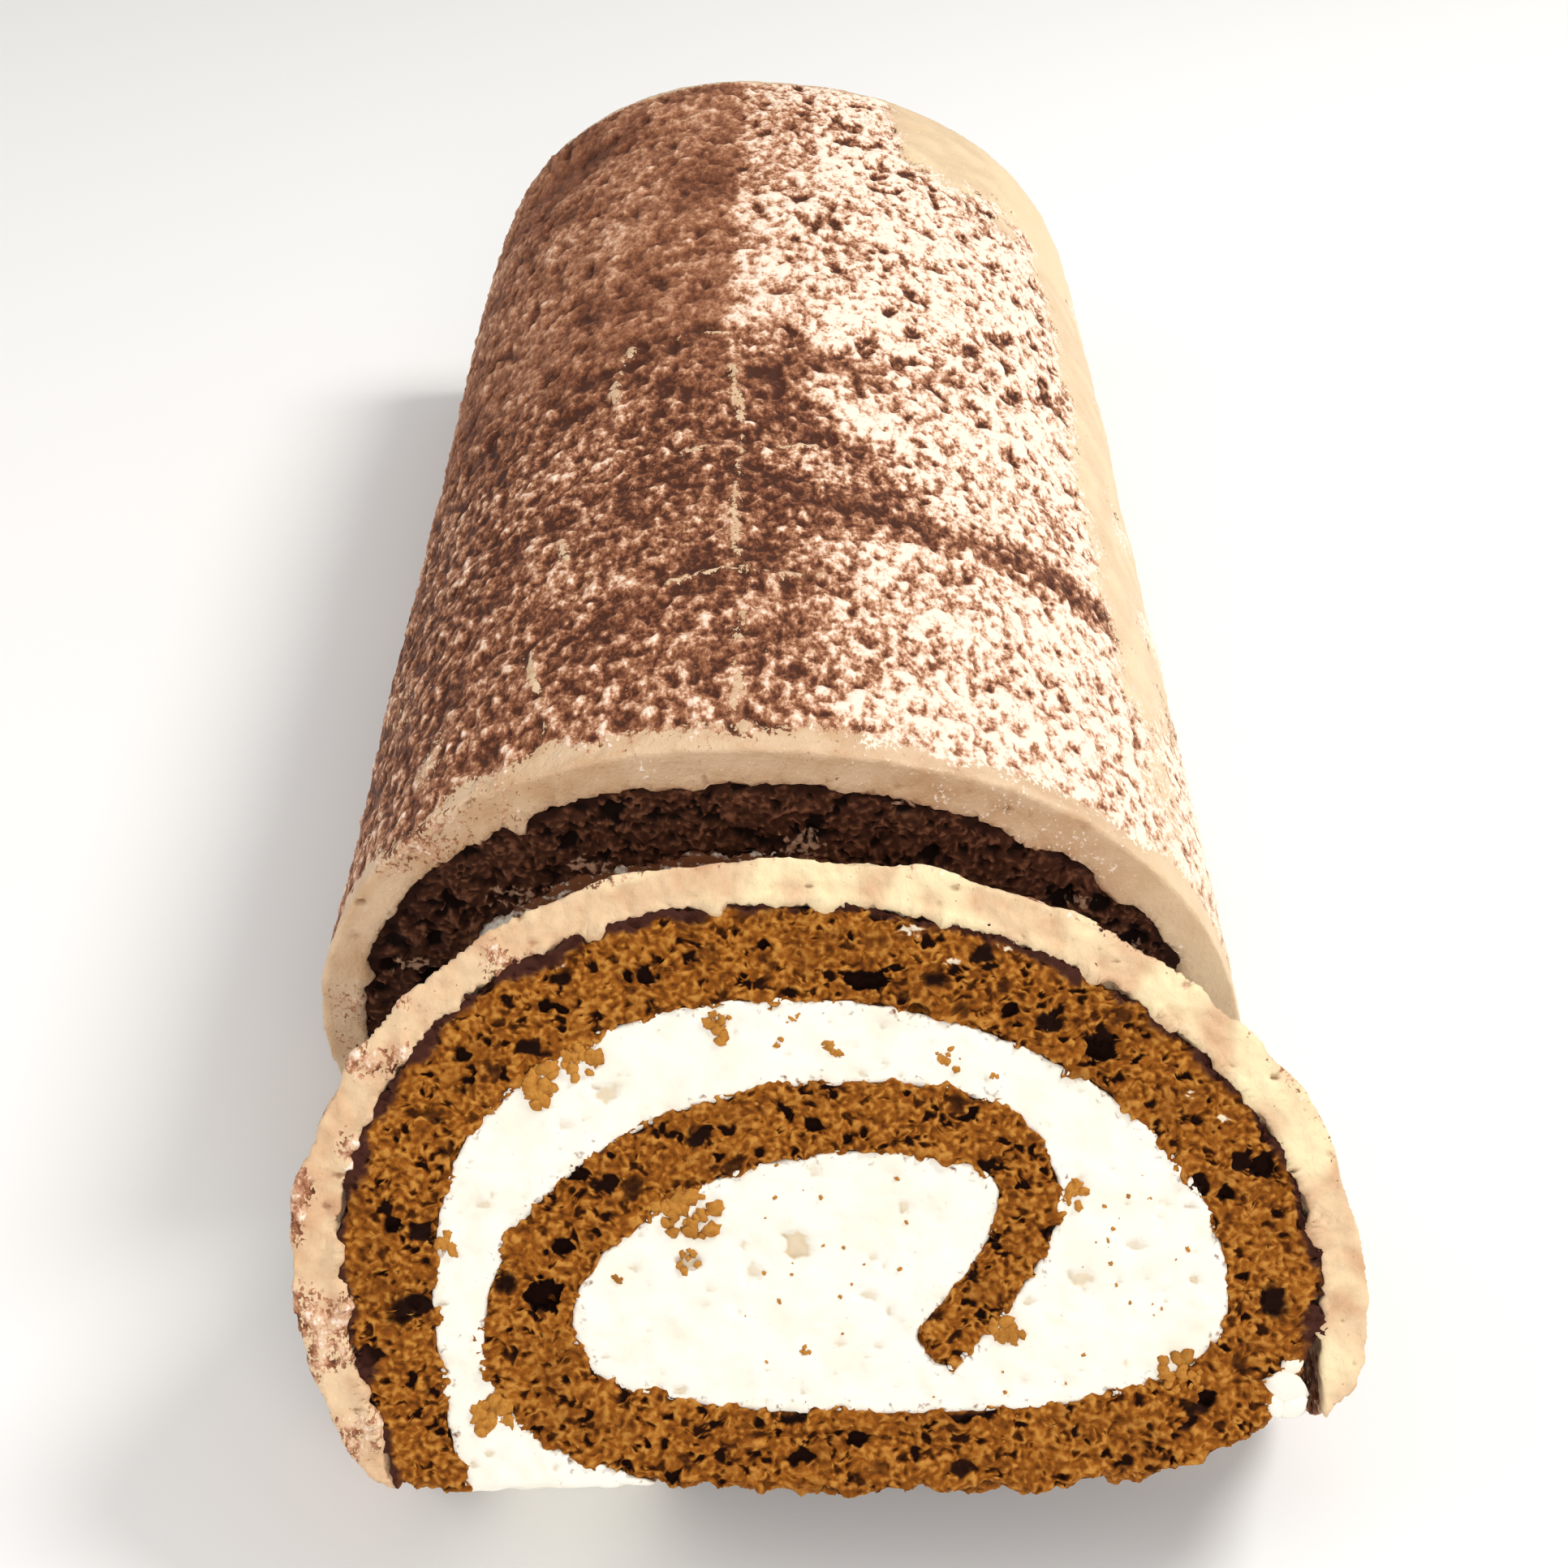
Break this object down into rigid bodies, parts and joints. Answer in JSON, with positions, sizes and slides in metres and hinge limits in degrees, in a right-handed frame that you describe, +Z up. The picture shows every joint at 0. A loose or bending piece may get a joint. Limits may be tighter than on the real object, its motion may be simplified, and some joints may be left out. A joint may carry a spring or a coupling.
{
  "type": "swiss roll cake",
  "caption": "Iced swiss roll of sponge and white cream, with its first slice cut off and leaning back on the cut end.",
  "frame": {"origin": "middle of the footprint of roll and slice together, on the board they rest on", "axes": "+Y along the roll from the leaning slice to the far end, +Z up, +X to the right when the cut end is faced"},
  "size_m": [0.1246, 0.307, 0.0694],
  "materials": {
    "chocolate_sponge": "matte, open crumb",
    "caramel_sponge": "matte, open crumb",
    "white_cream": "soft, slightly pitted where it is cut",
    "coffee_icing": "soft icing dusted with cocoa"
  },
  "bodies": {
    "root": {"roll_sponge": "chocolate_sponge", "roll_cream": "white_cream", "roll_coat": "coffee_icing", "slice_sponge": "caramel_sponge", "slice_cream": "white_cream", "slice_coat": "coffee_icing"}
  },
  "joints": []
}
